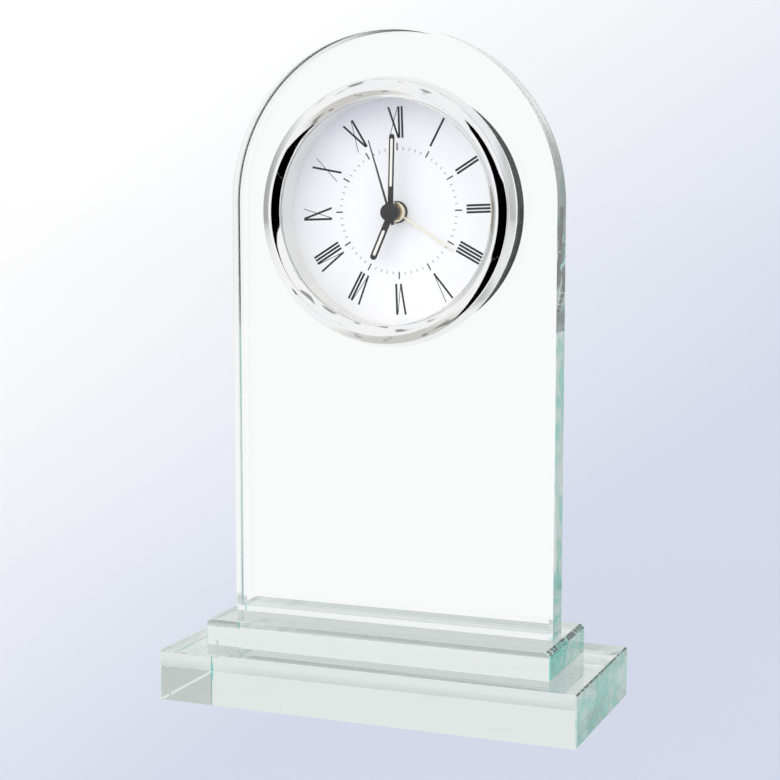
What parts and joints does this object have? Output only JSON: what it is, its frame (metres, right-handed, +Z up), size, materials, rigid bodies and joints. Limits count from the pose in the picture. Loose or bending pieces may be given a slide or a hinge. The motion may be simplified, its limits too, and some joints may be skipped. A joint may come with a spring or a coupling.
{
  "type": "glass arch-top alarm clock",
  "caption": "Desk alarm clock: jade glass panel with half-round top on a stepped glass base, chrome-bezelled round quartz insert with Roman dial.",
  "frame": {"origin": "centre of the footprint at the surface that the clock stands on", "axes": "+Z up, +X to the right seen from the front, +Y from the dial towards the back; the dial faces -Y"},
  "size_m": [0.1488, 0.0644, 0.2305],
  "materials": {
    "jade_glass": "polished jade-tinted float glass",
    "clear_bumper": "clear soft bumper",
    "chrome_ring": "bright chrome plate",
    "clear_cover": "clear flat cover glass",
    "white_plastic": "satin white",
    "dial_white": "matt white printed sheet",
    "dark_plastic": "fine matt",
    "black_rubber": "soft matt",
    "black_plastic": "moulded, fine grain",
    "steel": "bright plated steel",
    "cell_jacket": "plain printed jacket",
    "movement_plastic": "moulded natural plastic",
    "gear_plastic": "moulded acetal",
    "board": "green solder mask",
    "copper_wire": "varnished copper wire",
    "magnet": "dark sintered",
    "brass": "turned brass",
    "gilt": "gilt",
    "black_paint": "matt black paint",
    "cream_paint": "pale luminous paint",
    "red_plastic": "moulded"
  },
  "bodies": {
    "stand": {"bumper_feet": "clear_bumper", "lower_slab": "jade_glass", "plinth": "jade_glass", "arch_panel": "jade_glass", "bezel": "chrome_ring", "crystal": "clear_cover", "dial_ring": "white_plastic", "dial": "dial_white", "housing": "dark_plastic", "grip_band": "black_rubber", "rear_cover": "black_plastic", "rear_screws": "steel", "battery": "cell_jacket", "battery_contacts": "steel", "front_plate": "movement_plastic", "mid_plate": "movement_plastic", "back_plate": "movement_plastic", "boss_nut": "black_plastic", "circuit_board": "board", "chip": "black_plastic", "quartz_can": "steel", "coil": "copper_wire", "coil_core": "steel", "stator": "steel", "stator_arm": "steel", "buzzer": "black_plastic"},
    "rotor": {"rotor_pinion": "gear_plastic", "rotor_magnet": "magnet"},
    "intermediate": {"intermediate_wheel": "gear_plastic"},
    "third": {"third_wheel": "gear_plastic"},
    "centre": {"centre_wheel": "brass"},
    "seconds": {"second_wheel": "gear_plastic", "second_hand": "black_paint", "hub_seat": "black_paint", "hub_cap": "black_paint"},
    "minutes": {"cannon_pinion": "brass", "minute_hand": "black_paint", "minute_lume": "cream_paint"},
    "motion": {"motion_wheel": "gear_plastic", "time_knob": "black_plastic"},
    "hours": {"hour_wheel": "gear_plastic", "hour_hand": "black_paint", "hour_lume": "cream_paint", "hour_collar": "brass"},
    "alarm": {"alarm_wheel": "gear_plastic", "alarm_hand": "gilt"},
    "alarm_setting": {"alarm_set_gear": "gear_plastic", "alarm_knob": "black_plastic"},
    "switch": {"alarm_switch": "red_plastic"},
    "door": {"battery_door": "black_plastic"}
  },
  "joints": [
    {"name": "second_hand_turn", "type": "hinge", "parent": "stand", "child": "seconds", "pos_m": [0, -0.0057, 0.1694], "axis": [0, 1, 0], "continuous": true},
    {"name": "rotor_turn", "type": "hinge", "parent": "stand", "child": "rotor", "pos_m": [0.00801, 0.015, 0.1617], "axis": [0, 1, 0], "continuous": true},
    {"name": "intermediate_turn", "type": "hinge", "parent": "stand", "child": "intermediate", "pos_m": [0.0035, 0.0137, 0.16334], "axis": [0, 1, 0], "continuous": true},
    {"name": "third_turn", "type": "hinge", "parent": "stand", "child": "third", "pos_m": [-0.00495, 0.0118, 0.16445], "axis": [0, 1, 0], "continuous": true},
    {"name": "centre_turn", "type": "hinge", "parent": "stand", "child": "centre", "pos_m": [0, 0.0109, 0.1694], "axis": [0, 1, 0], "continuous": true},
    {"name": "minute_hand_turn", "type": "hinge", "parent": "stand", "child": "minutes", "pos_m": [0, -0.0042, 0.1694], "axis": [0, 1, 0], "continuous": true},
    {"name": "time_setting_turn", "type": "hinge", "parent": "stand", "child": "motion", "pos_m": [0.00641, 0.024, 0.1731], "axis": [0, 1, 0], "continuous": true},
    {"name": "hour_hand_turn", "type": "hinge", "parent": "stand", "child": "hours", "pos_m": [0, -0.00295, 0.1694], "axis": [0, 1, 0], "continuous": true},
    {"name": "alarm_hand_turn", "type": "hinge", "parent": "stand", "child": "alarm", "pos_m": [0, -0.0003, 0.1694], "axis": [0, 1, 0], "continuous": true},
    {"name": "alarm_setting_turn", "type": "hinge", "parent": "stand", "child": "alarm_setting", "pos_m": [-0.00693, 0.024, 0.1734], "axis": [0, 1, 0], "continuous": true},
    {"name": "alarm_switch_slide", "type": "slide", "parent": "stand", "child": "switch", "axis": [1, 0, 0], "range_m": [0, 0.004]},
    {"name": "battery_door_slide", "type": "slide", "parent": "stand", "child": "door", "axis": [0, 0, -1], "range_m": [0, 0.018]}
  ],
  "couplings": [
    {"joint": "rotor_turn", "follows": "second_hand_turn", "ratio": 30},
    {"joint": "intermediate_turn", "follows": "second_hand_turn", "ratio": -6},
    {"joint": "third_turn", "follows": "second_hand_turn", "ratio": -0.13333},
    {"joint": "centre_turn", "follows": "second_hand_turn", "ratio": 0.016667},
    {"joint": "time_setting_turn", "follows": "minute_hand_turn", "ratio": -0.33333},
    {"joint": "hour_hand_turn", "follows": "minute_hand_turn", "ratio": 0.083333},
    {"joint": "alarm_setting_turn", "follows": "alarm_hand_turn", "ratio": -3}
  ]
}
